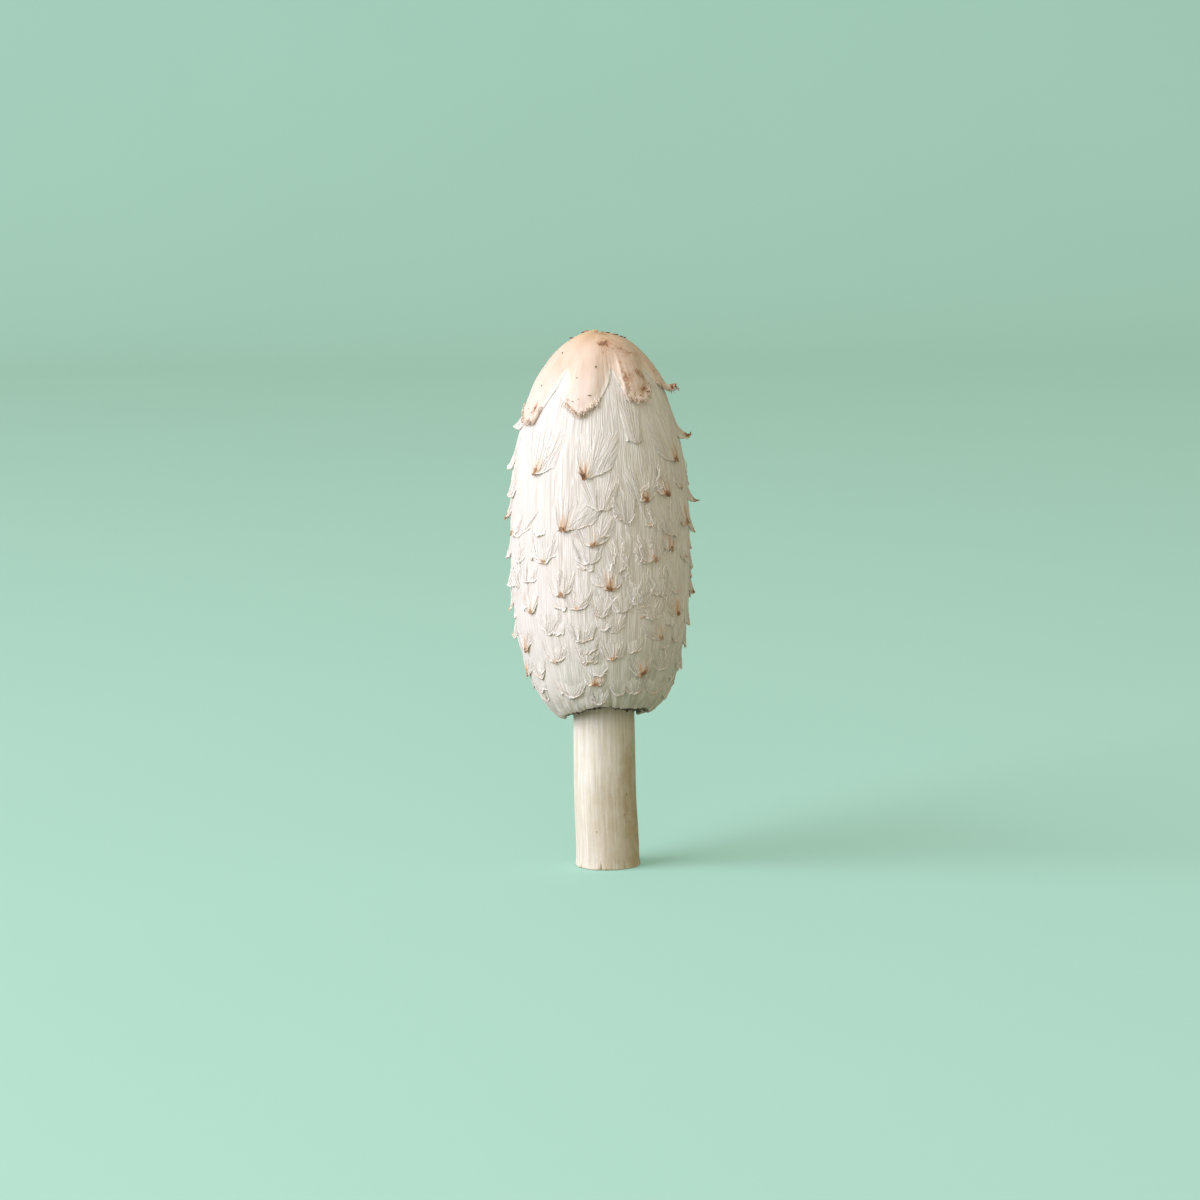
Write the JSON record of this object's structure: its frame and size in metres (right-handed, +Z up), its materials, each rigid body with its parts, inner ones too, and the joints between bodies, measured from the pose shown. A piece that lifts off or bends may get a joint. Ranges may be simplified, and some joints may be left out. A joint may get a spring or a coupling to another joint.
{
  "type": "ink cap mushroom",
  "caption": "Shaggy ink cap mushroom with a tall closed cap of white scales, a smooth tan crown torn into flaps, dark gills and a straight stem cut flat, standing on the cut.",
  "frame": {"origin": "centre of the flat cut at the foot of the stem, on the surface that the mushroom stands on", "axes": "+Z up along the stem to the crown, -Y the front, where the cap's edge stands a little higher, +X to the right seen from the front"},
  "size_m": [0.0525, 0.0512, 0.1455],
  "materials": {
    "stem_flesh": "matte",
    "cap_fibres": "matte",
    "crown_skin": "matte",
    "gills": "matte"
  },
  "bodies": {
    "root": {"stem": "stem_flesh", "cap": "cap_fibres", "crown_skin": "crown_skin", "gills": "gills"}
  },
  "joints": []
}
